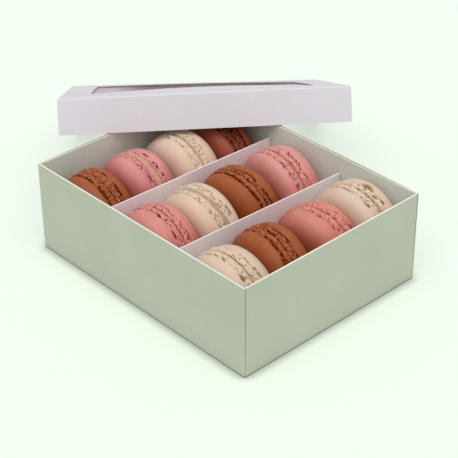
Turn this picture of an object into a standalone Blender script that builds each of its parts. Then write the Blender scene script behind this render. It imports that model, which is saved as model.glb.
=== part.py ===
"""A macaron window box, open: a card tray with three rows of four macarons on edge,
two card dividers between the rows, and the shallow lid with its film window,
which leans on the two walls at the tray's back corner.

Metres, +Z up. The origin is the centre of the tray's underside. The rows run along X,
from the near wall at -X to the far wall at +X, and the dividers part them along Y.
"""
import math

import bmesh
import bpy
from mathutils import Matrix, Vector

MM = 0.001

# Tray and card
TRAY_LENGTH = 117 * MM
TRAY_WIDTH = 151 * MM
TRAY_HEIGHT = 50 * MM
CARD = 0.8 * MM
CARD_EDGE = 0.25 * MM
GAP = 0.3 * MM

# Dividers: where each stands at the near and at the far wall, and its top edge at either end
DIVIDER_CARD = 0.6 * MM
DIVIDER_NEAR_TOP = 42.0 * MM
DIVIDER_FAR_TOP = 40.4 * MM
DIVIDER_ENDS = {
    "divider_left": (28.4 * MM, 26.2 * MM),
    "divider_right": (-22.0 * MM, -24.6 * MM),
}

# Lid: its long side is a little longer than the tray is wide, its short side than the tray is long
LID_LENGTH = TRAY_WIDTH + 3 * MM
LID_WIDTH = TRAY_LENGTH + 3 * MM
LID_HEIGHT = 18.9 * MM
LID_TURN = math.radians(-38.1)
LID_SLIDE = 4.8 * MM
LID_CORNER_DROP = 0.3 * MM
LID_CELLS_LONG = 9
LID_CELLS_WIDE = 7
LID_BOW = 2.8 * MM
LID_BOW_CENTRE = -8 * MM
LID_PINCH_LEFT = 4.5 * MM
LID_PINCH_RIGHT = 2.2 * MM
LID_LIFT_LEFT = 1.9 * MM
LID_LIFT_RIGHT = -0.8 * MM
FILM = 0.2 * MM
FILM_MARGIN = 0.25

# Macarons, each a shell, a filling and a shell, turned about its own axis.
# Heights are measured along that axis from the macaron's middle.
TURN_STEPS = 28
DOME_ANGLES = (64, 40, 18, 0)
DOME_FULLNESS = 0.52
SHELL_EDGE = 4.3 * MM
NECK_DEPTH = 0.5 * MM
FOOT_HIGH = 2.9 * MM
FOOT_LOW = 1.4 * MM
FOOT_BULGE = 0.6 * MM
FOOT_UNDERCUT = 0.6 * MM
FILLING_HALF = 1.1 * MM
FILLING_SET_BACK = 0.7 * MM
FILLING_ROUNDING = 0.6 * MM
CRUMB_SIZE = 4 * MM
CRUMB_DEPTH = 1.1 * MM

# Each row from the near wall to the far one. A macaron has a colour, the place of its middle
# along X and Y, its radius and thickness, how far its filling lies off the middle towards the
# near wall, how far its top tips that way and how far it is turned about the upright, in degrees.
ROWS = {
    1: (
        ("brown", -41.2, 51.6, 22.0, 27.2, -1.0, 4, 0),
        ("pink", -12.7, 51.3, 22.2, 28.0, 0.4, 3, -1),
        ("cream", 15.9, 50.9, 22.4, 28.0, 0.2, 2, 0),
        ("brown", 43.2, 50.3, 22.1, 25.4, 0.5, 5, 0),
    ),
    2: (
        ("pink", -40.9, 3.6, 22.6, 28.6, -0.9, 0, 0),
        ("cream", -13.0, 3.4, 22.3, 26.2, -0.5, 7, 0),
        ("brown", 13.4, 2.5, 22.8, 25.6, 0.0, 8, 2),
        ("pink", 42.9, 1.6, 22.8, 26.4, 2.0, 5, -6),
    ),
    3: (
        ("cream", -40.8, -48.4, 22.7, 28.2, 0.6, 3, -1),
        ("brown", -12.8, -47.0, 22.4, 26.4, 0.8, 4, -5),
        ("pink", 15.8, -49.4, 22.7, 26.4, -1.0, 2, 2),
        ("cream", 43.3, -50.0, 23.5, 26.8, 0.4, 4, 0),
    ),
}

COLOURS = {
    "tray": (0.46, 0.50, 0.40),
    "divider": (0.52, 0.47, 0.50),
    "lid": (0.66, 0.63, 0.68),
    "film": (0.80, 0.80, 0.82),
    "brown": (0.42, 0.13, 0.05),
    "pink": (0.72, 0.26, 0.26),
    "cream": (0.68, 0.50, 0.37),
}


def clear_scene():
    for thing in list(bpy.data.objects):
        bpy.data.objects.remove(thing, do_unlink=True)


def make_material(name, colour):
    material = bpy.data.materials.new(name)
    material.use_nodes = True
    shader = material.node_tree.nodes["Principled BSDF"]
    shader.inputs["Base Color"].default_value = (*colour, 1.0)
    shader.inputs["Roughness"].default_value = 0.7
    shader.inputs["Metallic"].default_value = 0.0
    return material


def add_object(name, mesh, collection, material):
    thing = bpy.data.objects.new(name, mesh)
    collection.objects.link(thing)
    thing.data.materials.append(material)
    return thing


def mesh_from(name, shape):
    mesh = bpy.data.meshes.new(name)
    shape.to_mesh(mesh)
    shape.free()
    return mesh


def add_thickness(thing, thickness, offset):
    """Gives an open surface its card thickness; offset -1 grows it inwards."""
    solidify = thing.modifiers.new("Card", "SOLIDIFY")
    solidify.thickness = thickness
    solidify.offset = offset
    solidify.use_even_offset = True
    return solidify


def make_tray(collection, material):
    """An open box: a cube without its top, thickened inwards, with soft card edges."""
    shape = bmesh.new()
    bmesh.ops.create_cube(shape, size=1.0)
    bmesh.ops.scale(shape, vec=(TRAY_LENGTH, TRAY_WIDTH, TRAY_HEIGHT), verts=shape.verts)
    bmesh.ops.translate(shape, vec=(0, 0, TRAY_HEIGHT / 2), verts=shape.verts)
    top = [face for face in shape.faces if face.normal.z > 0.5]
    bmesh.ops.delete(shape, geom=top, context="FACES")
    tray = add_object("tray", mesh_from("tray", shape), collection, material)
    add_thickness(tray, CARD, -1.0)
    bevel = tray.modifiers.new("Edges", "BEVEL")
    bevel.width = CARD_EDGE
    bevel.segments = 2
    bevel.limit_method = "ANGLE"
    return tray


def make_divider(name, collection, material):
    """A strip of card between the near and the far wall, set a little askew."""
    near_y, far_y = DIVIDER_ENDS[name]
    reach = TRAY_LENGTH - 2 * CARD - 4 * GAP
    floor = CARD + GAP
    shape = bmesh.new()
    bmesh.ops.create_cube(shape, size=1.0)
    bmesh.ops.scale(shape, vec=(reach, DIVIDER_CARD, 1.0), verts=shape.verts)
    for vert in shape.verts:
        near = vert.co.x < 0
        vert.co.y += near_y if near else far_y
        if vert.co.z < 0:
            vert.co.z = floor
        else:
            vert.co.z = DIVIDER_NEAR_TOP if near else DIVIDER_FAR_TOP
    return add_object(name, mesh_from(name, shape), collection, material)


def lid_bow(along, across):
    """How far the lid's panel bows up: nothing at its folds, most near its front window edge."""
    half_long, half_wide = LID_LENGTH / 2, LID_WIDTH / 2
    cell_long = LID_LENGTH / LID_CELLS_LONG
    cell_wide = LID_WIDTH / LID_CELLS_WIDE
    arch = max(0.0, 1 - ((along - LID_BOW_CENTRE) / half_long) ** 2)
    ends = min(1.0, (half_long - abs(along)) / cell_long)
    front = min(1.0, (across + half_wide) / cell_wide)
    back = min(1.0, (half_wide - across) / half_wide)
    return LID_BOW * arch * ends * front * back


def bend_panel(verts):
    """Bows the flat panel, lifts the ends of its back fold and draws both ends in there."""
    for vert in verts:
        along, across = vert.co.x, vert.co.y
        back = across / LID_WIDTH + 0.5
        right = along / LID_LENGTH + 0.5
        lift = LID_LIFT_LEFT + (LID_LIFT_RIGHT - LID_LIFT_LEFT) * right
        vert.co.z += lid_bow(along, across) + back * lift
        pinch = LID_PINCH_LEFT if along < 0 else LID_PINCH_RIGHT
        vert.co.x *= 1 - back * pinch / (LID_LENGTH / 2)


def lid_matrix():
    """The leaning lid: its near long wall on the tray's rims, its far one on the ground,
    and its panel just above the tray's back corner."""
    tilt = math.asin((TRAY_HEIGHT + GAP) / (LID_WIDTH - CARD))
    turned = Matrix.Rotation(LID_TURN, 3, "Z") @ Matrix.Rotation(-tilt, 3, "X")
    middle_height = LID_HEIGHT * math.cos(tilt) + LID_WIDTH / 2 * math.sin(tilt)
    fall = middle_height - LID_CORNER_DROP * math.cos(tilt) - TRAY_HEIGHT
    corner_in_lid = Vector((LID_SLIDE, fall / math.sin(tilt), -LID_CORNER_DROP))
    corner = Vector((TRAY_LENGTH / 2, TRAY_WIDTH / 2, TRAY_HEIGHT))
    return Matrix.Translation(corner - turned @ corner_in_lid) @ turned.to_4x4()


def panel_grid(cells_long, cells_wide, length, width, cuts=1):
    shape = bmesh.new()
    bmesh.ops.create_grid(shape, x_segments=cells_long, y_segments=cells_wide, size=0.5)
    bmesh.ops.scale(shape, vec=(length, width, 1.0), verts=shape.verts)
    bmesh.ops.subdivide_edges(shape, edges=shape.edges, cuts=cuts, use_grid_fill=True)
    return shape


def make_lid(collection, material):
    """A bowed panel with a window one cell in from each side, and four low walls."""
    shape = panel_grid(LID_CELLS_LONG, LID_CELLS_WIDE, LID_LENGTH, LID_WIDTH)
    border_long = LID_LENGTH / LID_CELLS_LONG
    border_wide = LID_WIDTH / LID_CELLS_WIDE
    window = []
    for face in shape.faces:
        middle = face.calc_center_median()
        inside_long = abs(middle.x) < LID_LENGTH / 2 - border_long
        inside_wide = abs(middle.y) < LID_WIDTH / 2 - border_wide
        if inside_long and inside_wide:
            window.append(face)
    bmesh.ops.delete(shape, geom=window, context="FACES")
    rim = []
    for edge in shape.edges:
        middle = (edge.verts[0].co + edge.verts[1].co) / 2
        at_end = abs(abs(middle.x) - LID_LENGTH / 2) < MM / 10
        at_side = abs(abs(middle.y) - LID_WIDTH / 2) < MM / 10
        if edge.is_boundary and (at_end or at_side):
            rim.append(edge)
    bend_panel(shape.verts)
    walls = bmesh.ops.extrude_edge_only(shape, edges=rim)["geom"]
    for part in walls:
        if isinstance(part, bmesh.types.BMVert):
            part.co.z = -LID_HEIGHT
    bmesh.ops.recalc_face_normals(shape, faces=shape.faces)
    lid = add_object("lid", mesh_from("lid", shape), collection, material)
    add_thickness(lid, CARD, -1.0)
    lid.matrix_world = lid_matrix()
    return lid


def make_film(collection, material):
    """The clear film under the window, a little larger than it and bowed with it."""
    cell_long = LID_LENGTH / LID_CELLS_LONG
    cell_wide = LID_WIDTH / LID_CELLS_WIDE
    cells_long, cells_wide = LID_CELLS_LONG - 2, LID_CELLS_WIDE - 2
    length = (cells_long + 2 * FILM_MARGIN) * cell_long
    width = (cells_wide + 2 * FILM_MARGIN) * cell_wide
    shape = panel_grid(cells_long, cells_wide, length, width)
    bend_panel(shape.verts)
    bmesh.ops.translate(shape, vec=(0, 0, -CARD - GAP), verts=shape.verts)
    film = add_object("window_film", mesh_from("window_film", shape), collection, material)
    add_thickness(film, FILM, -1.0)
    film.matrix_world = lid_matrix()
    return film


def turn_profile(name, outline, collection, material):
    """A closed turned solid from (radius, height, crumb) points, on the Z axis at both ends."""
    shape = bmesh.new()
    verts = [shape.verts.new((radius, 0, height)) for radius, height, _ in outline]
    for first, second in zip(verts, verts[1:]):
        shape.edges.new((first, second))
    thing = add_object(name, mesh_from(name, shape), collection, material)
    crumb = thing.vertex_groups.new(name="crumb")
    for index, (_, _, weight) in enumerate(outline):
        if weight > 0:
            crumb.add([index], weight, "REPLACE")
    screw = thing.modifiers.new("Turn", "SCREW")
    screw.steps = TURN_STEPS
    screw.render_steps = TURN_STEPS
    screw.use_merge_vertices = True
    screw.merge_threshold = 0.0001
    screw.use_normal_calculate = True
    return thing


def shell_outline(radius, half, seam):
    """A domed shell from its crown down to its ruffled foot and flat underside."""
    edge = seam + SHELL_EDGE
    outline = [(0.0, half, 0.0)]
    for angle in DOME_ANGLES:
        turn = math.radians(angle)
        across = radius * math.cos(turn) ** DOME_FULLNESS
        outline.append((across, edge + (half - edge) * math.sin(turn), 0.0))
    outline.append((radius - NECK_DEPTH, edge - NECK_DEPTH, 0.5))
    outline.append((radius + FOOT_BULGE, seam + FOOT_HIGH, 1.0))
    outline.append((radius - FOOT_UNDERCUT, seam + FOOT_LOW, 0.2))
    outline.append((0.0, seam + FOOT_LOW, 0.0))
    return outline


def filling_outline(radius, seam):
    edge = radius - FILLING_SET_BACK
    return [
        (0.0, seam + FILLING_HALF, 0.0),
        (edge - FILLING_ROUNDING, seam + FILLING_HALF, 0.0),
        (edge, seam, 0.0),
        (edge - FILLING_ROUNDING, seam - FILLING_HALF, 0.0),
        (0.0, seam - FILLING_HALF, 0.0),
    ]


def add_crumb(thing, texture):
    """Pits and crags of the foot, as relief that differs from place to place."""
    relief = thing.modifiers.new("Crumb", "DISPLACE")
    relief.texture = texture
    relief.texture_coords = "GLOBAL"
    relief.vertex_group = "crumb"
    relief.mid_level = 0.5
    relief.strength = CRUMB_DEPTH


def make_macaron(row, place, values, collection, material, texture):
    colour, x, y, radius, thickness, seam, tip, turn = values
    radius *= MM
    half = thickness * MM / 2
    seam *= MM
    tip = math.radians(tip)
    name = f"macaron_{row}_{place}_{colour}"
    foot = radius + FOOT_BULGE + CRUMB_DEPTH / 4
    height = CARD + GAP + foot * math.cos(tip) + SHELL_EDGE * math.sin(abs(tip)) + seam * math.sin(tip)
    middle = bpy.data.objects.new(name + "_middle", None)
    collection.objects.link(middle)
    middle.location = (x * MM, y * MM, height)
    middle.rotation_euler = (0, -math.pi / 2 - tip, math.radians(turn))
    for part, flip, rise in (("near_shell", 0, seam), ("far_shell", math.pi, -seam)):
        outline = shell_outline(radius, half, rise)
        shell = turn_profile(f"{name}_{part}", outline, collection, material)
        shell.parent = middle
        shell.rotation_euler = (flip, 0, 0)
        add_crumb(shell, texture)
    filling = turn_profile(name + "_filling", filling_outline(radius, seam), collection, material)
    filling.parent = middle


def main():
    clear_scene()
    collection = bpy.data.collections.new("macaron window box")
    bpy.context.scene.collection.children.link(collection)
    materials = {name: make_material(name, colour) for name, colour in COLOURS.items()}
    film = materials["film"].node_tree.nodes["Principled BSDF"]
    film.inputs["Roughness"].default_value = 0.1
    film.inputs["Alpha"].default_value = 0.3
    crumb = bpy.data.textures.new("crumb", "CLOUDS")
    crumb.noise_scale = CRUMB_SIZE

    make_tray(collection, materials["tray"])
    for name in DIVIDER_ENDS:
        make_divider(name, collection, materials["divider"])
    make_lid(collection, materials["lid"])
    make_film(collection, materials["film"])
    for row, macarons in ROWS.items():
        for place, values in enumerate(macarons, 1):
            make_macaron(row, place, values, collection, materials[values[0]], crumb)


main()
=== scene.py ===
"""A macaron window box, dressed: the card tray with its lining, two dividers, twelve macarons
on edge, and the shallow lid with its film window, which leans on the tray's back corner.

Lengths are in metres. The rows run along X from the near wall at -X, and the dividers part
them along Y. A macaron is made lying flat, with its near shell up, and is then stood on edge.
"""
import math
import random
from collections import namedtuple

import bmesh
import bpy
from mathutils import Euler, Matrix, Vector, noise


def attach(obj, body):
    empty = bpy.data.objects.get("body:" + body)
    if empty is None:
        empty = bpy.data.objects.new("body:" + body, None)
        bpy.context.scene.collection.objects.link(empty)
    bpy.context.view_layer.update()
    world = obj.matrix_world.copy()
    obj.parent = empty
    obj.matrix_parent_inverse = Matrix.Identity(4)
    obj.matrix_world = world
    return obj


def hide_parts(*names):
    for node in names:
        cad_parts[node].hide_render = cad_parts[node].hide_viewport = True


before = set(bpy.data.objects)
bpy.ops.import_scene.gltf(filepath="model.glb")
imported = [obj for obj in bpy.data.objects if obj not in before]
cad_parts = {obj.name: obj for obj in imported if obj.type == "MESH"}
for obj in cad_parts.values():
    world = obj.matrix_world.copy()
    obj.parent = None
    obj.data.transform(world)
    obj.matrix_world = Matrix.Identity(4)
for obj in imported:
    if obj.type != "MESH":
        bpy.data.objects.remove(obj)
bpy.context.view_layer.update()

MM = 0.001
ROOT = "root"
IMAGE_SIZE = 458

# The camera, as the tray's corners in the photograph give it
FOCAL_PIXELS = 1448.4
CAMERA_AZIMUTH = math.radians(-42.866)
CAMERA_ELEVATION = math.radians(32.992)
CAMERA_ROLL = math.radians(-0.4)
CAMERA_DISTANCE = 743.85 * MM
CAMERA_SIDE = -1.73 * MM
CAMERA_RISE = -16.78 * MM
SENSOR_WIDTH = 36.0

# The stage: a floor that glows a little and darkens close to the part, the sky and one lamp
BLACK = (0.0, 0.0, 0.0, 1.0)
FLOOR_HALF = 6.0
FLOOR_COLOUR = (0.518, 0.571, 0.512, 1.0)
FLOOR_ROUGHNESS = 0.9
FLOOR_GLOW = (0.882, 0.975, 0.862, 1.0)
FLOOR_GLOW_STRENGTH = 0.38
FLOOR_SHADE_REACH = 5.5 * MM
FLOOR_SHADE_END = 0.4
FLOOR_SHADE_DEPTH = 0.45
SKY_COLOUR = (0.97, 1.0, 0.97, 1.0)
SKY_STRENGTH = 0.55
LAMP_POWER = 1.9
LAMP_SPREAD = math.radians(70)
LAMP_TURN = (math.radians(20), 0.0, math.radians(-46))

# Tray, lining and dividers. The lining of the far walls springs in above a height, most at its
# top and in the middle of a wall. A divider has its place along Y at the near and at the far wall.
TRAY_LENGTH = 117 * MM
TRAY_WIDTH = 151 * MM
TRAY_HEIGHT = 50 * MM
WALL = 0.8 * MM
PLY = 0.4 * MM
CORNER_GAP = 0.5 * MM
CORNER_CLOSE = 0.25 * MM
WALL_LIFT = 0.5 * MM
BASE_INSET = 0.15 * MM
BASE_THICKNESS = 0.6 * MM
LINING_DROP = 0.15 * MM
LINING_LEAN = 0.6 * MM
LINING_ROLL = 0.25 * MM
LEAN_START = 32 * MM
LEAN_LEVELS = 3
LEAN_CUTS = 9
LEAN_CURVE = 1.5
LEAN_SPAN = 4
PLY_EDGE = 0.1 * MM
FLOOR_EDGE = 0.05 * MM
UPWARD = 0.3
DIVIDER_CARD = 0.6 * MM
DIVIDER_NEAR_TOP = 42.0 * MM
DIVIDER_FAR_TOP = 40.4 * MM
DIVIDER_REACH = 114.2 * MM
DIVIDER_FLOOR = 1.1 * MM
DIVIDERS = {
    "divider_left": (28.4 * MM, 26.2 * MM),
    "divider_right": (-22.0 * MM, -24.6 * MM),
}

# Lid: its panel is a grid of cells, and the window is all but the outer ring of them. It bows up,
# sags towards the window, and lifts and draws in along its back fold. Each sag is given for the
# left end and the right one.
LID_LENGTH = TRAY_WIDTH + 3 * MM
LID_WIDTH = TRAY_LENGTH + 3 * MM
LID_HEIGHT = 18.9 * MM
LID_TURN = math.radians(-38.1)
LID_SLIDE = 4.8 * MM
LID_CORNER_DROP = 0.3 * MM
LID_CELLS_LONG = 9
LID_CELLS_WIDE = 7
LID_CELL_LONG = LID_LENGTH / LID_CELLS_LONG
LID_CELL_WIDE = LID_WIDTH / LID_CELLS_WIDE
LID_BOW = 2.8 * MM
LID_BOW_CENTRE = -8 * MM
LID_PINCH_LEFT = 4.5 * MM
LID_PINCH_RIGHT = 2.2 * MM
LID_LIFT_LEFT = 1.9 * MM
LID_LIFT_RIGHT = -0.8 * MM
LID_FOLD = 0.7 * MM
LID_FOLD_ANGLE = 0.7
LID_SAG_NEAR = (0.85 * MM, -0.1 * MM)
LID_SAG_FAR = (0.45 * MM, 1.1 * MM)
# Painted shade on the lid's inner face: its middle along the lid, and how far from it the shade is full
# and where it has faded out
INSIDE_MIDDLE = 8 * MM
INSIDE_DEEP = 32 * MM
INSIDE_PALE = 58 * MM
GAP = 0.3 * MM
FILM = 0.2 * MM
FILM_MARGIN = 0.25
GRID_CUTS = 5

# Macarons: row by row from the near wall, as colour, place of the middle along X and Y, radius,
# thickness, how far the filling lies off the middle towards the near wall, tip that way and
# turn about the upright, in mm and degrees
ROWS = {
    1: (
        ("brown", -41.2, 51.6, 22.0, 27.2, -1.0, 4, 0),
        ("pink", -12.7, 51.3, 22.2, 28.0, 0.4, 3, -1),
        ("cream", 15.9, 50.9, 22.4, 28.0, 0.2, 2, 0),
        ("brown", 43.2, 50.3, 22.1, 25.4, 0.5, 5, 0),
    ),
    2: (
        ("pink", -40.9, 3.6, 22.6, 28.6, -0.9, 0, 0),
        ("cream", -13.0, 3.4, 22.3, 26.2, -0.5, 7, 0),
        ("brown", 13.4, 2.5, 22.8, 25.6, 0.0, 8, 2),
        ("pink", 42.9, 1.6, 22.8, 26.4, 2.0, 5, -6),
    ),
    3: (
        ("cream", -40.8, -48.4, 22.7, 28.2, 0.6, 3, -1),
        ("brown", -12.8, -47.0, 22.4, 26.4, 0.8, 4, -5),
        ("pink", 15.8, -49.4, 22.7, 26.4, -1.0, 2, 2),
        ("cream", 43.3, -50.0, 23.5, 26.8, 0.4, 4, 0),
    ),
}
MACARON_FLOOR = WALL + GAP
FOOT_REACH = 0.875 * MM
SHELL_EDGE = 4.3 * MM
TURN_STEPS = 320
OFFSET_RANGE = 50

# A macaron's measures: radius, half its thickness, place of its filling, half its slit and its
# skew, in mm, and the height of its feet against the usual one
Size = namedtuple("Size", "radius half seam slit tall skew")

# The dome of a shell: its fullness, its rows of points, the height above the filling where it
# ends and the one above which it is calm, both in mm, and the heights in the row between which
# painted shade deepens its tone towards the bottom, where the macarons and walls stand close
DOME_FULLNESS = 0.52
DOME_ROWS = 26
DOME_LOW = 5.0
DOME_CALM = 6.5
SHADE_FULL_BELOW = 36 * MM
SHADE_NONE_ABOVE = 46 * MM

# The foot's upper half, as steps out from the dome's radius and heights above the filling, then
# its round lower half and the shell's flat underside, in mm
FOOT_STEPS = (
    (-0.05, 4.75), (-0.2, 4.5), (-0.4, 4.25), (-0.45, 4.0), (-0.2, 3.75), (0.15, 3.5),
    (0.4, 3.2), (0.55, 2.85), (0.6, 2.5),
)
FOOT_ROWS = 9
FOOT_FALL = 1.2
SHELL_UNDER = 1.15
UNDER_CLEAR = 0.1
UNDER_BEND = 1.4
UNDER_FLAT = 2.4
UNDER_SMOOTH = 4

# The filling, in mm: half its height, its play in the slit, how much further out it stands for
# each mm that the slit is wider, and the roundness, step in degrees and waviness of its edge.
# Its skew fades out between two heights above and below it.
FILLING_HALF = 1.1
FILLING_GAP = 0.05
FILLING_SQUEEZE = 1.1
FILLING_ROUND = 0.5
FILLING_STEP = 20
FILLING_BRIM = 1
FILLING_WAVE = 0.3
FILLING_WAVE_SCALE = 0.3
SKEW_NONE_FROM = 10.0
SKEW_FULL_TO = 5.0

# Half the width of the slit that shows the filling, and how far the filling stands back from the
# dome's radius there, in mm, for each colour. Single macarons, by row and place, have a slit, a
# paler filling, a tone, a height of the feet or a skew of the filling in mm of their own. Some of
# these tones are lit and shaded copies: painted light on 2_4, deeper painted shade low in the row
# on 1_2 and 3_3, and the lid's painted shadow on 1_4.
SLIT = {"brown": 0.22, "pink": 0.3, "cream": 0.34}
SLITS = {(1, 2): 1.55, (1, 3): 0.6, (2, 2): 0.8, (2, 3): 0.14, (2, 4): 0.5}
SET_BACK = {"brown": 1.1, "pink": 1.2, "cream": 1.3}
PALE_FILLINGS = ((1, 2),)
TONES = {
    (1, 2): "pink_deeper_painted_shade", (1, 4): "brown_painted_lid_shadow", (2, 3): "deep_brown", (2, 4): "pink_painted_light",
    (3, 3): "warm_pink",
}
FOOT_HEIGHTS = {(1, 3): 1.06, (2, 1): 0.84, (2, 2): 1.06, (2, 3): 0.78, (2, 4): 0.95, (3, 2): 0.92}
SKEWS = {(1, 2): 0.3, (2, 2): 1.1, (2, 4): 0.8, (3, 1): 0.4, (3, 3): 1.6}

# How each colour's foot looks. The higher gouge_from and pits_from, the rarer they are, and the
# lower faint is, the shallower and the less darkened by painted shade are all but the marks.
FOOT_LOOKS = {
    "brown": {
        "gouge_from": -0.2, "gouge": 0.6, "pits_from": 0.2, "fine_from": 0.24,
        "grain": 0.66, "depth": 0.8, "ruffle": 0.55, "faint": 1.0,
    },
    "pink": {
        "gouge_from": 0.02, "gouge": 0.3, "pits_from": 0.3, "fine_from": 0.28,
        "grain": 0.76, "depth": 0.6, "ruffle": 0.34, "faint": 0.85,
    },
    "cream": {
        "gouge_from": 0.08, "gouge": 0.3, "pits_from": 0.29, "fine_from": 0.31,
        "grain": 0.7, "depth": 0.5, "ruffle": 0.36, "faint": 0.8,
    },
}

# Relief of the shells, in mm. A wave has its height and how fine it is: broad swells have a low
# number and grain a high one.
SWELL = (0.24, 0.07)
SWELL_FINE = (0.06, 0.3)
FOOT_EDGE = 4.35
FOOT_EDGE_WAVE = (0.7, 0.16)
FOOT_EDGE_FINE = (0.45, 0.75)
FOOT_EDGE_SOFT = 0.2
ROUGH_SCALE = 1.1
ROUGH_LIFT = 0.22
COVER_SCALE = 0.26
GOUGE_BELOW = 0.3
GOUGE_WIDTH = 0.8
GOUGE_WIDTH_WAVE = (1.1, 0.7)
GOUGE_LEAST = 0.05
GOUGE_EDGE = (1.0, 0.45)
PIT_STRETCH = 1.5
PIT_SOFT = 0.12
GOUGE_SOFT = 0.14
FINE_SCALE = 2.1
FINE_SHARE = 0.8
RUFFLE_AROUND = 0.38
RUFFLE_ALONG = 0.3

# Larger cracks and chips of single shells: angle from the top towards the left in degrees, height
# above the filling, half length along the ring, half width and slope, in mm. The values below
# the list say how far they may reach past their length, how frayed and bent they are, and where
# their edge fades.
MARKS = {
    (1, 1, "near"): ((0, 4.1, 6.0, 0.5, 0.0), (-32, 3.9, 5.0, 0.55, 0.05)),
    (1, 1, "far"): ((-6, 4.3, 2.2, 0.6, 0.1), (-40, 4.2, 4.0, 0.45, 0.0)),
    (1, 2, "near"): ((-37, 3.4, 4.0, 0.3, 0.02),),
    (1, 2, "far"): (
        (-3, 4.2, 2.8, 0.35, 0.08), (-22, 4.3, 1.5, 0.45, 0.4), (-29, 4.4, 1.6, 0.4, -0.5),
        (-27, 3.2, 0.8, 0.45, 0.3), (-35, 3.4, 0.8, 0.4, 0.2), (-44, 4.4, 1.0, 0.4, 0.2),
    ),
    (2, 1, "near"): ((-8, 3.9, 1.5, 0.55, 0.1), (-20, 3.4, 0.9, 0.5, 0.3), (-42, 4.1, 2.2, 0.45, 0.0)),
    (2, 1, "far"): ((-17, 3.3, 2.6, 0.65, 0.1), (-52, 3.4, 2.4, 0.8, -0.1), (-36, 3.0, 1.2, 0.6, 0.2)),
    (2, 2, "far"): ((-39, 4.0, 1.9, 0.35, 0.45), (-49, 4.1, 2.0, 0.35, -0.4), (-44, 4.6, 3.4, 0.28, 0.0)),
    (2, 3, "near"): ((-8, 4.2, 7.0, 0.6, 0.0), (-40, 4.0, 6.0, 0.65, 0.04)),
    (2, 3, "far"): ((-6, 2.6, 4.0, 0.6, 0.1), (-28, 2.9, 3.0, 0.45, -0.1), (-52, 3.3, 3.0, 0.75, 0.0)),
    (2, 4, "far"): (
        (-9, 4.1, 1.6, 0.5, -0.7), (-17, 3.2, 2.3, 0.65, 0.1), (-26, 3.7, 2.4, 0.5, 0.3),
        (-36, 2.9, 1.6, 0.6, -0.4), (-48, 3.6, 1.8, 0.5, 0.2),
    ),
    (3, 1, "near"): ((-36, 4.1, 2.1, 0.65, 0.0),),
    (3, 1, "far"): (
        (-42, 4.7, 2.3, 0.6, 0.15), (-32, 4.3, 1.5, 0.45, 0.3), (-14, 4.0, 1.6, 0.4, 0.3),
        (-23, 3.4, 1.1, 0.4, -0.2),
    ),
    (3, 2, "near"): ((-20, 4.3, 6.0, 0.4, 0.02), (-47, 4.8, 2.6, 0.75, 0.05)),
    (3, 2, "far"): ((-4, 3.0, 2.4, 0.6, 0.05), (-32, 3.2, 3.4, 0.65, -0.1), (-46, 3.4, 1.6, 0.4, 0.3)),
    (3, 3, "near"): ((-7, 4.7, 1.6, 0.6, 0.1), (-26, 4.4, 1.2, 0.35, 0.0)),
    (3, 3, "far"): ((-44, 4.2, 2.6, 0.55, 0.1), (-18, 3.9, 1.2, 0.4, 0.2)),
    (3, 4, "near"): ((-30, 4.0, 2.2, 0.4, 0.1),),
    (3, 4, "far"): ((-8, 4.7, 3.3, 2.4, 0.0), (-25, 2.1, 1.9, 0.9, 0.2), (-36, 4.2, 1.6, 0.6, 0.0)),
}
MARK_SPARE = 0.6
MARK_FRAY = 0.6
MARK_BEND = 0.35
MARK_EDGE = (1.1, 0.7)

# Colours as they show on screen, 0 to 255. A card or a filling has two that cloud into each other.
CARDS = {
    "sage_card": ((193, 197, 180), (189, 193, 176)),
    "grey_lining": ((228, 236, 228), (223, 231, 223)),
    "raw_board": ((190, 188, 122), (180, 178, 114)),
    "cut_card_edge": ((236, 238, 224), (228, 230, 216)),
    "divider_card": ((252, 245, 248), (248, 241, 244)),
    "cut_divider_edge": ((246, 236, 242), (240, 230, 236)),
    "pale_lilac_card": ((223, 218, 227), (220, 215, 224)),
    # Painted shade: the tray's bottom sheet is dark so that it shows as a shaded line under the walls'
    # feet
    "underside_painted_shade": ((92, 92, 76), (84, 84, 70)),
    # Painted shade: the lid's cut edges are dark grey, for the shade along the window's edges
    "lid_cut_edge_painted_shade": ((126, 118, 120), (118, 110, 112)),
}
# The lid's inner face: pale at its ends, and painted shade, dark brown, towards its middle where the
# lid's hollow is in shade
LID_INSIDE_PALE = (254, 238, 252)
LID_INSIDE_PAINTED_SHADE = (122, 44, 64)
FILM_COLOUR = (246, 238, 246)
FILLINGS = {
    "brown": ("chocolate_cream", (124, 58, 26), (104, 46, 20)),
    "pink": ("dark_rose_cream", (186, 108, 98), (170, 94, 86)),
    "pale": ("rose_cream", (204, 150, 132), (194, 139, 121)),
    "cream": ("vanilla_cream", (184, 158, 136), (170, 144, 120)),
}

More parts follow.
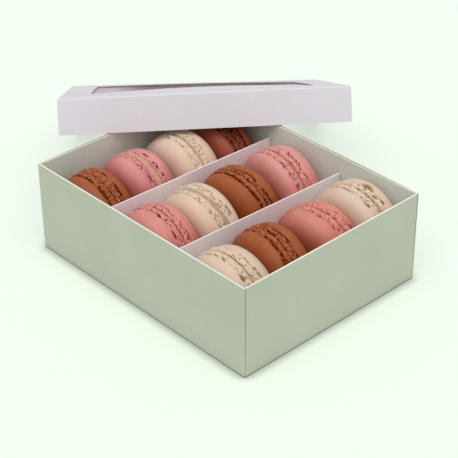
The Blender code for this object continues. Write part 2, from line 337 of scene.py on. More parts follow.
# A shell's tones: its dome, its dome low in the row with painted shade, its foot, the painted
# shade of its pits, cracks and chips, and its specks, and then how much it shines
SHELLS = {
    "brown": ((161, 87, 49), (149, 72, 32), (180, 112, 76), (118, 44, 13), (140, 70, 38), 0.28),
    "deep_brown": ((162, 90, 53), (147, 71, 31), (182, 113, 76), (112, 40, 10), (138, 68, 34), 0.2),
    # The lid's shadow painted on the foot, pits and specks
    "brown_painted_lid_shadow": ((164, 86, 60), (150, 72, 46), (126, 62, 42), (80, 26, 12), (110, 50, 32), 0.3),
    "pink": (
        (211, 140, 134), (191, 109, 96), (224, 152, 144), (142, 42, 40), (200, 112, 104), 0.35,
    ),
    # Warmer, with deeper painted shade low in the row
    "warm_pink": (
        (209, 137, 123), (173, 88, 63), (222, 146, 134), (146, 34, 32), (200, 108, 96), 0.35,
    ),
    # A clearer dome, with deeper painted shade low in the row
    "pink_deeper_painted_shade": (
        (217, 148, 145), (182, 99, 91), (226, 156, 150), (134, 42, 40), (200, 112, 106), 0.35,
    ),
    # Lighter all over as painted light, with less painted shade low in the row
    "pink_painted_light": (
        (213, 148, 143), (206, 128, 118), (226, 160, 154), (142, 36, 38), (202, 118, 112), 0.35,
    ),
    "cream": (
        (216, 191, 172), (211, 179, 160), (222, 203, 176), (150, 116, 76), (198, 174, 144), 0.35,
    ),
}
CARD_ROUGHNESS = 0.72
CARD_FIBRE = (0.25, 0.22, 0.2, 1.0)
BOARD_FIBRE = (0.12, 0.09, 0.08, 1.0)


def linear(colour):
    """A colour given as it shows on screen, 0 to 255, as the shader wants it."""
    values = []
    for part in colour:
        part /= 255
        values.append(part / 12.92 if part <= 0.04045 else ((part + 0.055) / 1.055) ** 2.4)
    return (*values, 1.0)


def clamp(value):
    return min(1.0, max(0.0, value))


def between(start, end, share):
    return start + (end - start) * share


def smooth_step(low, high, value):
    share = clamp((value - low) / (high - low))
    return share * share * (3 - 2 * share)


# Materials


def start_material(name, colour, roughness):
    """A material with its Principled shader and its object coordinates."""
    material = bpy.data.materials.new(name)
    material.use_nodes = True
    tree = material.node_tree
    shader = tree.nodes["Principled BSDF"]
    shader.inputs["Base Color"].default_value = colour
    shader.inputs["Roughness"].default_value = roughness
    shader.inputs["Metallic"].default_value = 0.0
    place = tree.nodes.new("ShaderNodeTexCoord")
    return material, tree, shader, place.outputs["Object"]


def add_noise(tree, place, scale, detail=3.0, roughness=0.55):
    grain = tree.nodes.new("ShaderNodeTexNoise")
    grain.inputs["Scale"].default_value = scale
    grain.inputs["Detail"].default_value = detail
    grain.inputs["Roughness"].default_value = roughness
    tree.links.new(place, grain.inputs["Vector"])
    return grain.outputs["Fac"]


def map_range(tree, value, low, high, out_low=0.0, out_high=1.0):
    node = tree.nodes.new("ShaderNodeMapRange")
    node.inputs["From Min"].default_value = low
    node.inputs["From Max"].default_value = high
    node.inputs["To Min"].default_value = out_low
    node.inputs["To Max"].default_value = out_high
    tree.links.new(value, node.inputs["Value"])
    return node.outputs["Result"]


def mix_colours(tree, share, first, second):
    """Mixes two colours, each given as a colour or as a socket."""
    node = tree.nodes.new("ShaderNodeMix")
    node.data_type = "RGBA"
    for socket, value in ((node.inputs[0], share), (node.inputs[6], first), (node.inputs[7], second)):
        if isinstance(value, bpy.types.NodeSocket):
            tree.links.new(value, socket)
        else:
            socket.default_value = value
    return node.outputs[2]


def read_attribute(tree, name):
    node = tree.nodes.new("ShaderNodeAttribute")
    node.attribute_name = name
    return node.outputs["Fac"]


def add_bump(tree, shader, height, distance, strength):
    node = tree.nodes.new("ShaderNodeBump")
    node.inputs["Strength"].default_value = strength
    node.inputs["Distance"].default_value = distance
    tree.links.new(height, node.inputs["Height"])
    tree.links.new(node.outputs["Normal"], shader.inputs["Normal"])


def card_material(name):
    """Uncoated card: a faint cloudiness, paper fibre and a matt finish."""
    colour, shade = [linear(tone) for tone in CARDS[name]]
    material, tree, shader, place = start_material(name, colour, CARD_ROUGHNESS)
    cloud = map_range(tree, add_noise(tree, place, scale=28.0, detail=4.0), 0.35, 0.65)
    fibre = add_noise(tree, place, scale=1900.0, detail=4.0, roughness=0.7)
    base = mix_colours(tree, cloud, colour, shade)
    fleck = map_range(tree, fibre, 0.3, 0.7, out_high=0.12)
    tree.links.new(mix_colours(tree, fleck, base, CARD_FIBRE), shader.inputs["Base Color"])
    rough = map_range(tree, cloud, 0.0, 1.0, CARD_ROUGHNESS - 0.05, CARD_ROUGHNESS + 0.05)
    tree.links.new(rough, shader.inputs["Roughness"])
    shader.inputs["Specular IOR Level"].default_value = 0.3
    add_bump(tree, shader, fibre, distance=0.00004, strength=0.6)
    return material


def film_material():
    """Clear film with a faint ripple in how much it hides and shines."""
    material, tree, shader, place = start_material("clear_film", linear(FILM_COLOUR), 0.12)
    shader.inputs["IOR"].default_value = 1.25
    shader.inputs["Specular IOR Level"].default_value = 0.25
    ripple = add_noise(tree, place, scale=30.0, detail=2.0)
    tree.links.new(map_range(tree, ripple, 0.3, 0.7, 0.1, 0.13), shader.inputs["Alpha"])
    tree.links.new(map_range(tree, ripple, 0.3, 0.7, 0.08, 0.16), shader.inputs["Roughness"])
    add_bump(tree, shader, ripple, distance=0.0003, strength=0.3)
    return material


def shell_material(tone):
    """A baked shell: satin dome with painted shade deepening its tone low in the row, matt crumbly foot,
    and painted shade in its pits, cracks and chips.
    """
    *colours, gloss = SHELLS[tone]
    dome, dome_painted_shade, foot, pit_shade, speckle = [linear(colour) for colour in colours]
    material, tree, shader, place = start_material(f"{tone}_shell", dome, 0.5)
    in_foot = read_attribute(tree, "foot")
    in_pit_shade = read_attribute(tree, "pit_shade")
    cloud = map_range(tree, add_noise(tree, place, scale=110.0), 0.35, 0.65)
    grain = add_noise(tree, place, scale=1500.0, roughness=0.65)
    crumb = add_noise(tree, place, scale=700.0, detail=4.0, roughness=0.7)
    parts = tree.nodes.new("ShaderNodeSeparateXYZ")
    tree.links.new(place, parts.inputs[0])
    # Painted shade: the dome's tone deepens towards the bottom of the tray, where neighbours and walls
    # shade it
    rise = map_range(tree, parts.outputs["Z"], SHADE_FULL_BELOW, SHADE_NONE_ABOVE)
    dome_with_painted_shade = mix_colours(tree, rise, dome_painted_shade, dome)
    domed = mix_colours(tree, map_range(tree, cloud, 0.0, 1.0, out_high=0.3), dome_with_painted_shade, dome_painted_shade)
    crumbly = mix_colours(tree, map_range(tree, crumb, 0.35, 0.6), foot, dome_with_painted_shade)
    base = mix_colours(tree, in_foot, domed, crumbly)
    fleck = map_range(tree, grain, 0.58, 0.72, out_high=0.35)
    speckled = mix_colours(tree, fleck, base, speckle)
    # Painted shade in the pits, cracks and chips of the foot and dome
    tree.links.new(mix_colours(tree, in_pit_shade, speckled, pit_shade), shader.inputs["Base Color"])
    tree.links.new(map_range(tree, in_foot, 0.0, 1.0, 0.5, 0.85), shader.inputs["Roughness"])
    shine = map_range(tree, in_pit_shade, 0.0, 1.0, gloss, 0.05)
    tree.links.new(shine, shader.inputs["Specular IOR Level"])
    shader.inputs["Subsurface Weight"].default_value = 0.12
    shader.inputs["Subsurface Radius"].default_value = (1.0, 0.45, 0.3)
    shader.inputs["Subsurface Scale"].default_value = 0.0015
    rough = tree.nodes.new("ShaderNodeMath")
    rough.operation = "MULTIPLY"
    tree.links.new(crumb, rough.inputs[0])
    tree.links.new(map_range(tree, in_foot, 0.0, 1.0, out_low=0.12), rough.inputs[1])
    add_bump(tree, shader, rough.outputs[0], distance=0.0004, strength=0.5)
    return material


def lid_inside_material():
    """The lid's uncoated inner face, pale at its ends, with painted shade darkening it towards its
    middle, where the lid's hollow is in shade.
    """
    pale, deep = linear(LID_INSIDE_PALE), linear(LID_INSIDE_PAINTED_SHADE)
    material, tree, shader, place = start_material("lid_inside_painted_shade", pale, 0.85)
    fibre = add_noise(tree, place, scale=900.0, detail=4.0, roughness=0.7)
    base = mix_colours(tree, read_attribute(tree, "deep"), pale, deep)
    fleck = map_range(tree, fibre, 0.3, 0.7, out_high=0.08)
    tree.links.new(mix_colours(tree, fleck, base, BOARD_FIBRE), shader.inputs["Base Color"])
    tree.links.new(map_range(tree, fibre, 0.3, 0.7, 0.8, 0.95), shader.inputs["Roughness"])
    add_bump(tree, shader, fibre, distance=0.00004, strength=0.6)
    return material


def filling_material(kind):
    """Soft cream, a little cloudy and nearly matt."""
    name, *tones = FILLINGS[kind]
    colour, shade = [linear(tone) for tone in tones]
    material, tree, shader, place = start_material(name, colour, 0.6)
    cream = map_range(tree, add_noise(tree, place, scale=420.0), 0.35, 0.65)
    tree.links.new(mix_colours(tree, cream, colour, shade), shader.inputs["Base Color"])
    tree.links.new(map_range(tree, cream, 0.0, 1.0, 0.6, 0.8), shader.inputs["Roughness"])
    shader.inputs["Specular IOR Level"].default_value = 0.08
    add_bump(tree, shader, cream, distance=0.0003, strength=0.4)
    return material


# Making pieces


def new_piece(name, shape, materials, replaced=()):
    """Puts a finished shape in the scene with its materials, rides it on the body and hides the parts
    that it stands in for.
    """
    mesh = bpy.data.meshes.new(name)
    shape.to_mesh(mesh)
    shape.free()
    for material in materials:
        mesh.materials.append(material)
    piece = bpy.data.objects.new(name, mesh)
    bpy.context.scene.collection.objects.link(piece)
    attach(piece, ROOT)
    if replaced:
        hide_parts(*replaced)
    return piece


def add_slab(shape, low, high, edge):
    """A flat board between two corners, with its edges eased."""
    made = bmesh.ops.create_cube(shape, size=1.0)["verts"]
    size = [b - a for a, b in zip(low, high)]
    middle = [(a + b) / 2 for a, b in zip(low, high)]
    bmesh.ops.scale(shape, vec=size, verts=made)
    bmesh.ops.translate(shape, vec=middle, verts=made)
    edges = {side for vert in made for side in vert.link_edges}
    faces = {face for vert in made for face in vert.link_faces}
    eased = bmesh.ops.bevel(
        shape, geom=list(edges), offset=edge, segments=2, profile=0.5, affect="EDGES", material=-1
    )
    faces = {face for face in faces if face.is_valid} | set(eased["faces"])
    return list({vert for face in faces for vert in face.verts})


def mark_cut_edges(shape, slot):
    """Gives the upward faces, where the card is cut, the material in that slot."""
    shape.normal_update()
    for face in shape.faces:
        if face.normal.z > UPWARD:
            face.material_index = slot


def wall_slabs(shape, inset, bottom, top, corner_gap, corner_close):
    """Four upright boards round the tray, a ply thick; two run through, and two end short of them."""
    far_x = TRAY_LENGTH / 2 - inset
    far_y = TRAY_WIDTH / 2 - inset
    end_x = far_x - PLY - corner_gap
    for side in (-1, 1):
        across = sorted((side * far_x, side * (far_x - PLY)))
        add_slab(shape, (across[0], -far_y, bottom), (across[1], far_y, top), PLY_EDGE)
        along = sorted((side * far_y, side * (far_y - PLY)))
        board = add_slab(shape, (-end_x, along[0], bottom), (end_x, along[1], top), PLY_EDGE)
        for vert in board:
            if abs(vert.co.x) > end_x - MM:
                closed = corner_close * (1 - vert.co.z / TRAY_HEIGHT)
                vert.co.x += math.copysign(closed, vert.co.x)


def cut_across(shape, place, normal):
    geometry = [*shape.verts, *shape.edges, *shape.faces]
    bmesh.ops.bisect_plane(shape, geom=geometry, plane_co=place, plane_no=normal, dist=MM / 1000)


def lean_lining(shape):
    """Lets the lining of the two far walls spring a little way in at its top."""
    top = TRAY_HEIGHT - LINING_DROP
    inner_x = TRAY_LENGTH / 2 - WALL
    inner_y = TRAY_WIDTH / 2 - WALL
    for level in range(LEAN_LEVELS):
        cut_across(shape, (0, 0, LEAN_START + (top - LEAN_START) * level / LEAN_LEVELS), (0, 0, 1))
    for step in range(1, LEAN_CUTS + 1):
        share = 2 * step / (LEAN_CUTS + 1) - 1
        cut_across(shape, (inner_x * share, 0, 0), (1, 0, 0))
        cut_across(shape, (0, inner_y * share, 0), (0, 1, 0))
    for vert in shape.verts:
        x, y, z = vert.co
        rise = max(0.0, (z - LEAN_START) / (top - LEAN_START)) ** LEAN_CURVE
        sides = ((0, x, inner_x, y / inner_y), (1, y, inner_y, x / inner_x))
        for axis, place, inner, along in sides:
            if abs(place) < inner - MM / 10:
                continue
            lean = LINING_LEAN * (1 - min(1.0, abs(along)) ** LEAN_SPAN) if place > 0 else 0.0
            roll = LINING_ROLL if abs(place) < inner + PLY / 2 else 0.0
            vert.co[axis] -= math.copysign(rise * (lean + roll), place)


def make_tray(cards):
    """The tray's card with its bottom sheet, dark as painted shade under the walls' feet, and the lining
    inside it with the floor's.
    """
    cut = cards["cut_card_edge"]
    shape = bmesh.new()
    wall_slabs(shape, 0.0, WALL_LIFT, TRAY_HEIGHT, CORNER_GAP, CORNER_CLOSE)
    mark_cut_edges(shape, 1)
    x, y = TRAY_LENGTH / 2 - BASE_INSET, TRAY_WIDTH / 2 - BASE_INSET
    # The bottom sheet is dark, painted shade under the walls' feet
    base = add_slab(shape, (-x, -y, 0.0), (x, y, BASE_THICKNESS), PLY_EDGE)
    for face in {face for vert in base for face in vert.link_faces}:
        face.material_index = 2
    finishes = [cards["sage_card"], cut, cards["underside_painted_shade"]]
    new_piece("tray_card", shape, finishes, ["tray"])

    shape = bmesh.new()
    wall_slabs(shape, WALL - PLY, PLY, TRAY_HEIGHT - LINING_DROP, 0.0, 0.0)
    mark_cut_edges(shape, 1)
    for face in shape.faces:
        middle = face.calc_center_median()
        if abs(face.normal.z) < UPWARD and face.normal.xy.dot(middle.xy) > 0:
            face.material_index = 2
    lean_lining(shape)
    x, y = TRAY_LENGTH / 2 - WALL, TRAY_WIDTH / 2 - WALL
    add_slab(shape, (-x, -y, BASE_THICKNESS), (x, y, WALL), FLOOR_EDGE)
    finishes = [cards["grey_lining"], cut, cards["raw_board"]]
    new_piece("tray_lining", shape, finishes, ["tray"])


def make_divider(name, card, cut):
    """A strip of card across the tray, a little askew and lower at its far end."""
    near_y, far_y = DIVIDERS[name]
    half = DIVIDER_REACH / 2
    shape = bmesh.new()
    low = (-half, -DIVIDER_CARD / 2, DIVIDER_FLOOR)
    high = (half, DIVIDER_CARD / 2, DIVIDER_NEAR_TOP)
    add_slab(shape, low, high, PLY_EDGE)
    for vert in shape.verts:
        share = (vert.co.x + half) / DIVIDER_REACH
        vert.co.y += between(near_y, far_y, share)
        if vert.co.z > DIVIDER_NEAR_TOP / 2:
            vert.co.z += (DIVIDER_FAR_TOP - DIVIDER_NEAR_TOP) * share
    mark_cut_edges(shape, 1)
    new_piece(name + "_card", shape, [card, cut], [name])


def lid_bow(along, across):
    """How far the panel bows up: not at its folds, and most near the window's front edge."""
    half_long, half_wide = LID_LENGTH / 2, LID_WIDTH / 2
    arch = clamp(1 - ((along - LID_BOW_CENTRE) / half_long) ** 2)
    ends = clamp((half_long - abs(along)) / LID_CELL_LONG)
    front = clamp((across + half_wide) / LID_CELL_WIDE)
    back = clamp((half_wide - across) / half_wide)
    return LID_BOW * arch * ends * front * back


def window_sag(along, across):
    """How far the card sags towards the window: not at the folds, and in full at its edges."""
    at_end = clamp((LID_LENGTH / 2 - abs(along)) / LID_CELL_LONG)
    at_side = clamp((LID_WIDTH / 2 - abs(across)) / LID_CELL_WIDE)
    right = along / LID_LENGTH + 0.5
    back = across / LID_WIDTH + 0.5
    near = between(*LID_SAG_NEAR, right ** 2)
    far = between(*LID_SAG_FAR, right ** 2)
    return min(at_end, at_side) * between(near, far, back)


def bend_panel(verts):
    """Bows and sags the flat panel, lifts its back fold's ends and draws both ends in there."""
    for vert in verts:
        along, across = vert.co.x, vert.co.y
        back = across / LID_WIDTH + 0.5
        lift = between(LID_LIFT_LEFT, LID_LIFT_RIGHT, along / LID_LENGTH + 0.5)
        vert.co.z += lid_bow(along, across) + back * lift - window_sag(along, across)
        pinch = LID_PINCH_LEFT if along < 0 else LID_PINCH_RIGHT
        vert.co.x *= 1 - back * pinch / (LID_LENGTH / 2)


def lid_matrix():
    """Leans the lid: its near long wall on the tray's rims, its far one on the ground."""
    tilt = math.asin((TRAY_HEIGHT + GAP) / (LID_WIDTH - WALL))
    turned = Matrix.Rotation(LID_TURN, 3, "Z") @ Matrix.Rotation(-tilt, 3, "X")
    middle_height = LID_HEIGHT * math.cos(tilt) + LID_WIDTH / 2 * math.sin(tilt)
    fall = middle_height - LID_CORNER_DROP * math.cos(tilt) - TRAY_HEIGHT
    corner_in_lid = Vector((LID_SLIDE, fall / math.sin(tilt), -LID_CORNER_DROP))
    corner = Vector((TRAY_LENGTH / 2, TRAY_WIDTH / 2, TRAY_HEIGHT))
    return Matrix.Translation(corner - turned @ corner_in_lid) @ turned.to_4x4()


def panel_grid(cells_long, cells_wide, length, width):
    shape = bmesh.new()
    bmesh.ops.create_grid(shape, x_segments=cells_long, y_segments=cells_wide, size=0.5)
    bmesh.ops.scale(shape, vec=(length, width, 1.0), verts=shape.verts)
    bmesh.ops.subdivide_edges(shape, edges=shape.edges, cuts=GRID_CUTS, use_grid_fill=True)
    return shape


def apply_card(piece, thickness, inner=0, cut=0):
    """Gives an open sheet its thickness inwards, and its inner face and cut edges their finish."""
    card = piece.modifiers.new("Card", "SOLIDIFY")
    card.thickness = thickness
    card.offset = -1.0
    card.use_even_offset = True
    card.material_offset = inner
    card.material_offset_rim = cut


def make_lid(card, inside, cut):
    """A bent panel with a window and four low walls, its folds eased."""
    shape = panel_grid(LID_CELLS_LONG, LID_CELLS_WIDE, LID_LENGTH, LID_WIDTH)
    window = []
    for face in shape.faces:
        middle = face.calc_center_median()
        inside_long = abs(middle.x) < LID_LENGTH / 2 - LID_CELL_LONG
        inside_wide = abs(middle.y) < LID_WIDTH / 2 - LID_CELL_WIDE
        if inside_long and inside_wide:
            window.append(face)
    bmesh.ops.delete(shape, geom=window, context="FACES")
    rim = []
    for edge in shape.edges:
        middle = (edge.verts[0].co + edge.verts[1].co) / 2
        at_end = abs(abs(middle.x) - LID_LENGTH / 2) < MM / 10
        at_side = abs(abs(middle.y) - LID_WIDTH / 2) < MM / 10
        if edge.is_boundary and (at_end or at_side):
            rim.append(edge)
    bend_panel(shape.verts)
    # How much painted shade the lid's inner face takes, most towards its middle
    deep = shape.verts.layers.float.new("deep")
    for vert in shape.verts:
        vert[deep] = smooth_step(INSIDE_PALE, INSIDE_DEEP, abs(vert.co.x - INSIDE_MIDDLE))
    walls = bmesh.ops.extrude_edge_only(shape, edges=rim)["geom"]
    for part in walls:
        if isinstance(part, bmesh.types.BMVert):
            part.co.z = -LID_HEIGHT
    bmesh.ops.recalc_face_normals(shape, faces=shape.faces)
    folds = []
    for edge in shape.edges:
        if edge.is_manifold and edge.calc_face_angle(0) > LID_FOLD_ANGLE:
            folds.append(edge)
    bmesh.ops.bevel(
        shape, geom=folds, offset=LID_FOLD, segments=4, profile=0.5, affect="EDGES", material=-1
    )
    bmesh.ops.transform(shape, matrix=lid_matrix(), verts=shape.verts)
    lid = new_piece("lid_card", shape, [card, inside, cut], ["lid"])
    # The lid's cut edges, round the window and at the walls' feet, are dark grey painted shade
    apply_card(lid, WALL, inner=1, cut=2)


def make_film(material):
    """The clear film under the window, a little larger than it and bent with the panel."""
    cells_long, cells_wide = LID_CELLS_LONG - 2, LID_CELLS_WIDE - 2
    length = (cells_long + 2 * FILM_MARGIN) * LID_CELL_LONG
    width = (cells_wide + 2 * FILM_MARGIN) * LID_CELL_WIDE
    shape = panel_grid(cells_long, cells_wide, length, width)
    bend_panel(shape.verts)
    bmesh.ops.translate(shape, vec=(0, 0, -WALL - GAP / 2), verts=shape.verts)
    bmesh.ops.transform(shape, matrix=lid_matrix(), verts=shape.verts)
    shade_smooth(shape)
    film = new_piece("window_film_sheet", shape, [material], ["window_film"])
    apply_card(film, FILM)


def spin_profile(points):
    """Turns a profile about Z into a closed solid; its ends lie on the axis."""
    shape = bmesh.new()
    verts = [shape.verts.new((radius, 0, height)) for radius, height in points]
    edges = [shape.edges.new(pair) for pair in zip(verts, verts[1:])]
    bmesh.ops.spin(
        shape, geom=verts + edges, cent=(0, 0, 0), axis=(0, 0, 1),
        angle=math.tau, steps=TURN_STEPS, use_merge=True,
    )
    bmesh.ops.remove_doubles(shape, verts=shape.verts, dist=0.000001)
    bmesh.ops.recalc_face_normals(shape, faces=shape.faces)
    shape.normal_update()
    return shape


def shell_profile(size):
    """A shell from its crown down its dome, out over its foot and under it to the axis."""
    radius, seam, slit, tall = size.radius, size.seam, size.slit, size.tall
    points = []
    dome_low = seam + DOME_LOW * tall
    for step in range(DOME_ROWS):
        turn = math.pi / 2 * (1 - step / DOME_ROWS)
        across = radius * math.cos(turn) ** DOME_FULLNESS if step else 0.0
        points.append((across, between(dome_low, size.half, math.sin(turn))))
    points.append((radius, dome_low))
    for out, height in FOOT_STEPS:
        points.append((radius + out, seam + height * tall))
    widest, start = FOOT_STEPS[-1]
    start *= tall
    for step in range(1, FOOT_ROWS + 1):
        turn = math.pi / 2 * step / FOOT_ROWS
        out = widest - FOOT_FALL * (1 - math.cos(turn))
        points.append((radius + out, seam + start - (start - slit) * math.sin(turn)))
    under = max(SHELL_UNDER, slit + UNDER_CLEAR)
    points.append((radius - UNDER_BEND, seam + (slit + under) / 2))
    points.append((radius - UNDER_FLAT, seam + under))
    points.append((0.0, seam + under))
    return [(across * MM, height * MM) for across, height in points]


def waves(wave, place, offset):
    """Smooth random relief at a place, as high and as fine as the wave says."""
    height, scale = wave
    return height * noise.noise(place * scale + offset)


def past(start, soft, value):
    return smooth_step(start, start + soft, value)


def in_mark(mark, angle, height, radius, rough):
    """How deep a place on the ring lies in a crack or chip, from 0 to 1."""
    middle, level, half_length, half_width, slope = mark
    along = math.radians(angle - middle) * radius
    if abs(along) > half_length + MARK_SPARE:
        return 0.0
    across = height - level - slope * along + MARK_BEND * rough
    reach = math.hypot(along / half_length, across / half_width) + MARK_FRAY * rough
    return smooth_step(*MARK_EDGE, reach)


def roughen_shell(shape, look, marks, size, offset):
    """Raises and pits the foot, swells the dome a little, and marks the foot, and the pits, cracks and
    chips that the material darkens with painted shade.
    """
    foot_mark = shape.verts.layers.float.new("foot")
    pit_shade_mark = shape.verts.layers.float.new("pit_shade")
    for vert in shape.verts:
        x, y, z = (vert.co / MM)[:]
        height = (z - size.seam) / size.tall
        if math.hypot(x, y) < size.radius - UNDER_SMOOTH and height < DOME_LOW:
            continue
        here = Vector((x, y, height))
        around = Vector((x, y, 0.0))
        swell = waves(SWELL, here, offset) + waves(SWELL_FINE, here, offset)
        if height > DOME_CALM:
            vert.co += vert.normal * swell * MM
            continue
        rough = noise.noise(here * ROUGH_SCALE + offset)
        edge = FOOT_EDGE + waves(FOOT_EDGE_WAVE, around, offset)
        edge += waves(FOOT_EDGE_FINE, around, -offset)
        share = smooth_step(edge + FOOT_EDGE_SOFT, edge - FOOT_EDGE_SOFT, height)
        width = look["gouge"] * (GOUGE_WIDTH + waves(GOUGE_WIDTH_WAVE, around, 3 * offset))
        depth_below = edge - height - GOUGE_BELOW
        cover = noise.noise(around * COVER_SCALE + 2 * offset)
        gouge = past(look["gouge_from"], GOUGE_SOFT, cover)
        gouge *= smooth_step(*GOUGE_EDGE, abs(depth_below) / max(width, GOUGE_LEAST))
        stretched = Vector((x, y, height * PIT_STRETCH)) * look["grain"]
        pits = past(look["pits_from"], PIT_SOFT, noise.noise(stretched + offset))
        fine = past(look["fine_from"], PIT_SOFT, noise.noise(stretched * FINE_SCALE - offset))
        dark = look["faint"] * max(gouge, share * pits, FINE_SHARE * share * fine)
        angle = math.degrees(math.atan2(y, x))
        for mark in marks:
            dark = max(dark, in_mark(mark, angle, height, size.radius, rough))
        ruffled = Vector((x * RUFFLE_AROUND, y * RUFFLE_AROUND, height * RUFFLE_ALONG))
        lumps = look["ruffle"] * noise.noise(ruffled + offset)
        move = swell + share * (lumps + ROUGH_LIFT * rough) - dark * look["depth"]
        vert.co += vert.normal * move * MM
        vert[foot_mark] = share
        # How much painted shade the material puts in this pit, crack or chip
        vert[pit_shade_mark] = dark


def skew_seam(shape, size):
    """Lets the filling's plane run askew of the shells, fading out over the dome."""
    for vert in shape.verts:
        height = abs(vert.co.z / MM - size.seam)
        share = smooth_step(SKEW_NONE_FROM, SKEW_FULL_TO, height)
        vert.co.z += size.skew * MM * vert.co.y / (size.radius * MM) * share


def shade_smooth(shape):
    for face in shape.faces:
        face.smooth = True


def make_shell(name, part, flip, colour, size, marks, material, stand, offset):
    """One baked shell, made lying on the filling and then stood on edge with its macaron."""
    shape = spin_profile(shell_profile(size))
    roughen_shell(shape, FOOT_LOOKS[colour], marks, size, offset)
    skew_seam(shape, size)
    placed = stand @ Matrix.Rotation(flip, 4, "X")
    bmesh.ops.transform(shape, matrix=placed, verts=shape.verts)
    shade_smooth(shape)
    node = f"{name}_{part}_shell"
    new_piece(node + "_baked", shape, [material], [node])


def make_filling(name, colour, size, material, stand, offset):
    """The cream between the shells: a disc with a round, slightly uneven edge."""
    seam = size.seam
    edge = size.radius - SET_BACK[colour] + FILLING_SQUEEZE * (size.slit - SLIT[colour])
    height = max(FILLING_HALF, size.slit - FILLING_GAP)
    points = [(0.0, (seam + height) * MM)]
    for angle in range(90, -91, -FILLING_STEP):
        turn = math.radians(angle)
        across = edge + FILLING_ROUND * math.cos(turn)
        points.append((across * MM, (seam + height * math.sin(turn)) * MM))
    points.append((0.0, (seam - height) * MM))
    shape = spin_profile(points)
    for vert in shape.verts:
        if vert.co.xy.length > (edge - FILLING_BRIM) * MM:
            wave = noise.noise(vert.co / MM * FILLING_WAVE_SCALE + offset)
            vert.co += vert.normal * FILLING_WAVE * MM * wave
    skew_seam(shape, size)
    bmesh.ops.transform(shape, matrix=stand, verts=shape.verts)
    shade_smooth(shape)
    new_piece(f"{name}_cream_filling", shape, [material], [f"{name}_filling"])


def random_offset(draw):
    return Vector([draw.uniform(0, OFFSET_RANGE) for _ in range(3)])


def make_macaron(row, place, values, shells, fillings):
    """Two shells and their filling, stood on edge on the tray's floor."""
    colour, x, y, radius, thickness, seam, tip, turn = values
    spot = (row, place)
    tip = math.radians(tip)
    name = f"macaron_{row}_{place}_{colour}"
    foot = radius * MM + FOOT_REACH
    height = MACARON_FLOOR + foot * math.cos(tip) + SHELL_EDGE * math.sin(abs(tip))
    height += seam * MM * math.sin(tip)
    stand = Matrix.Translation((x * MM, y * MM, height))
    stand @= Euler((0, -math.pi / 2 - tip, math.radians(turn))).to_matrix().to_4x4()
    slit = SLITS.get(spot, SLIT[colour])
    size = Size(radius, thickness / 2, seam, slit, FOOT_HEIGHTS.get(spot, 1.0), SKEWS.get(spot, 0.0))
    baked = shells[TONES.get(spot, colour)]
    draw = random.Random(row * 10 + place)
    for part, flip, side in (("near", 0.0, 1), ("far", math.pi, -1)):
        marks = []
        for angle, *rest in MARKS.get((row, place, part), ()):
            marks.append((side * angle, *rest))
        shell = size._replace(seam=side * seam)
        offset = random_offset(draw)
        make_shell(name, part, flip, colour, shell, marks, baked, stand, offset)
    cream = fillings["pale" if spot in PALE_FILLINGS else colour]
    make_filling(name, colour, size, cream, stand, random_offset(draw))


def make_floor():
    """A plain pale floor that glows a little, with a soft shade where the part stands on it."""
    shape = bmesh.new()
    bmesh.ops.create_grid(shape, x_segments=1, y_segments=1, size=FLOOR_HALF)
    mesh = bpy.data.meshes.new("floor")
    shape.to_mesh(mesh)
    shape.free()
    floor = bpy.data.objects.new("floor", mesh)
    bpy.context.scene.collection.objects.link(floor)
    material, tree, shader, _ = start_material("pale_floor", FLOOR_COLOUR, FLOOR_ROUGHNESS)
    contact = tree.nodes.new("ShaderNodeAmbientOcclusion")
    contact.inputs["Distance"].default_value = FLOOR_SHADE_REACH
    near = map_range(tree, contact.outputs["AO"], FLOOR_SHADE_END, 1.0, out_low=FLOOR_SHADE_DEPTH)
    for socket, colour in (("Base Color", FLOOR_COLOUR), ("Emission Color", FLOOR_GLOW)):
        tree.links.new(mix_colours(tree, near, BLACK, colour), shader.inputs[socket])
    shader.inputs["Emission Strength"].default_value = FLOOR_GLOW_STRENGTH
    mesh.materials.append(material)


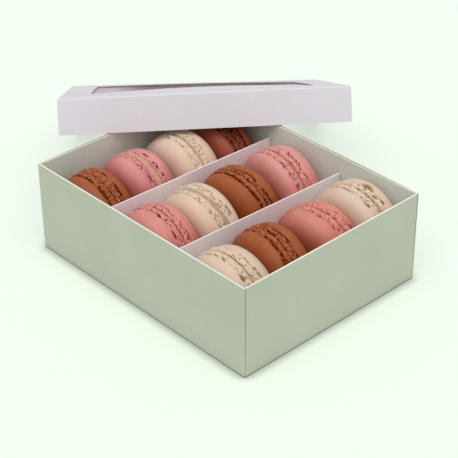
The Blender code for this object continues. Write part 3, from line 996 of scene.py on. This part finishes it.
def light_the_scene():
    """A pale even sky and one very soft lamp."""
    world = bpy.data.worlds.new("soft_studio")
    bpy.context.scene.world = world
    world.use_nodes = True
    sky = world.node_tree.nodes["Background"]
    sky.inputs["Color"].default_value = SKY_COLOUR
    sky.inputs["Strength"].default_value = SKY_STRENGTH
    lamp = bpy.data.lights.new("soft_key", "SUN")
    lamp.energy = LAMP_POWER
    lamp.angle = LAMP_SPREAD
    key = bpy.data.objects.new("soft_key", lamp)
    key.rotation_euler = LAMP_TURN
    bpy.context.scene.collection.objects.link(key)


def place_camera():
    """Puts the camera at the photograph's angle."""
    az, el = CAMERA_AZIMUTH, CAMERA_ELEVATION
    back = Vector((math.sin(az) * math.cos(el), -math.cos(az) * math.cos(el), math.sin(el)))
    right = Vector((math.cos(az), math.sin(az), 0.0))
    up = back.cross(right)
    cos_roll, sin_roll = math.cos(CAMERA_ROLL), math.sin(CAMERA_ROLL)
    right, up = cos_roll * right + sin_roll * up, cos_roll * up - sin_roll * right
    camera = bpy.data.cameras.new("camera")
    camera.sensor_width = SENSOR_WIDTH
    camera.lens = FOCAL_PIXELS * SENSOR_WIDTH / IMAGE_SIZE
    viewer = bpy.data.objects.new("camera", camera)
    place = back * CAMERA_DISTANCE - right * CAMERA_SIDE - up * CAMERA_RISE
    facing = Matrix((right, up, back)).transposed().to_4x4()
    viewer.matrix_world = Matrix.Translation(place) @ facing
    bpy.context.scene.collection.objects.link(viewer)
    bpy.context.scene.camera = viewer
    bpy.context.scene.view_settings.view_transform = "Standard"


def main():
    cards = {name: card_material(name) for name in CARDS}
    make_tray(cards)
    for name in DIVIDERS:
        make_divider(name, cards["divider_card"], cards["cut_divider_edge"])
    make_lid(cards["pale_lilac_card"], lid_inside_material(), cards["lid_cut_edge_painted_shade"])
    make_film(film_material())
    shells = {tone: shell_material(tone) for tone in SHELLS}
    fillings = {kind: filling_material(kind) for kind in FILLINGS}
    for row, macarons in ROWS.items():
        for place, values in enumerate(macarons, 1):
            make_macaron(row, place, values, shells, fillings)
    make_floor()
    light_the_scene()
    place_camera()


main()
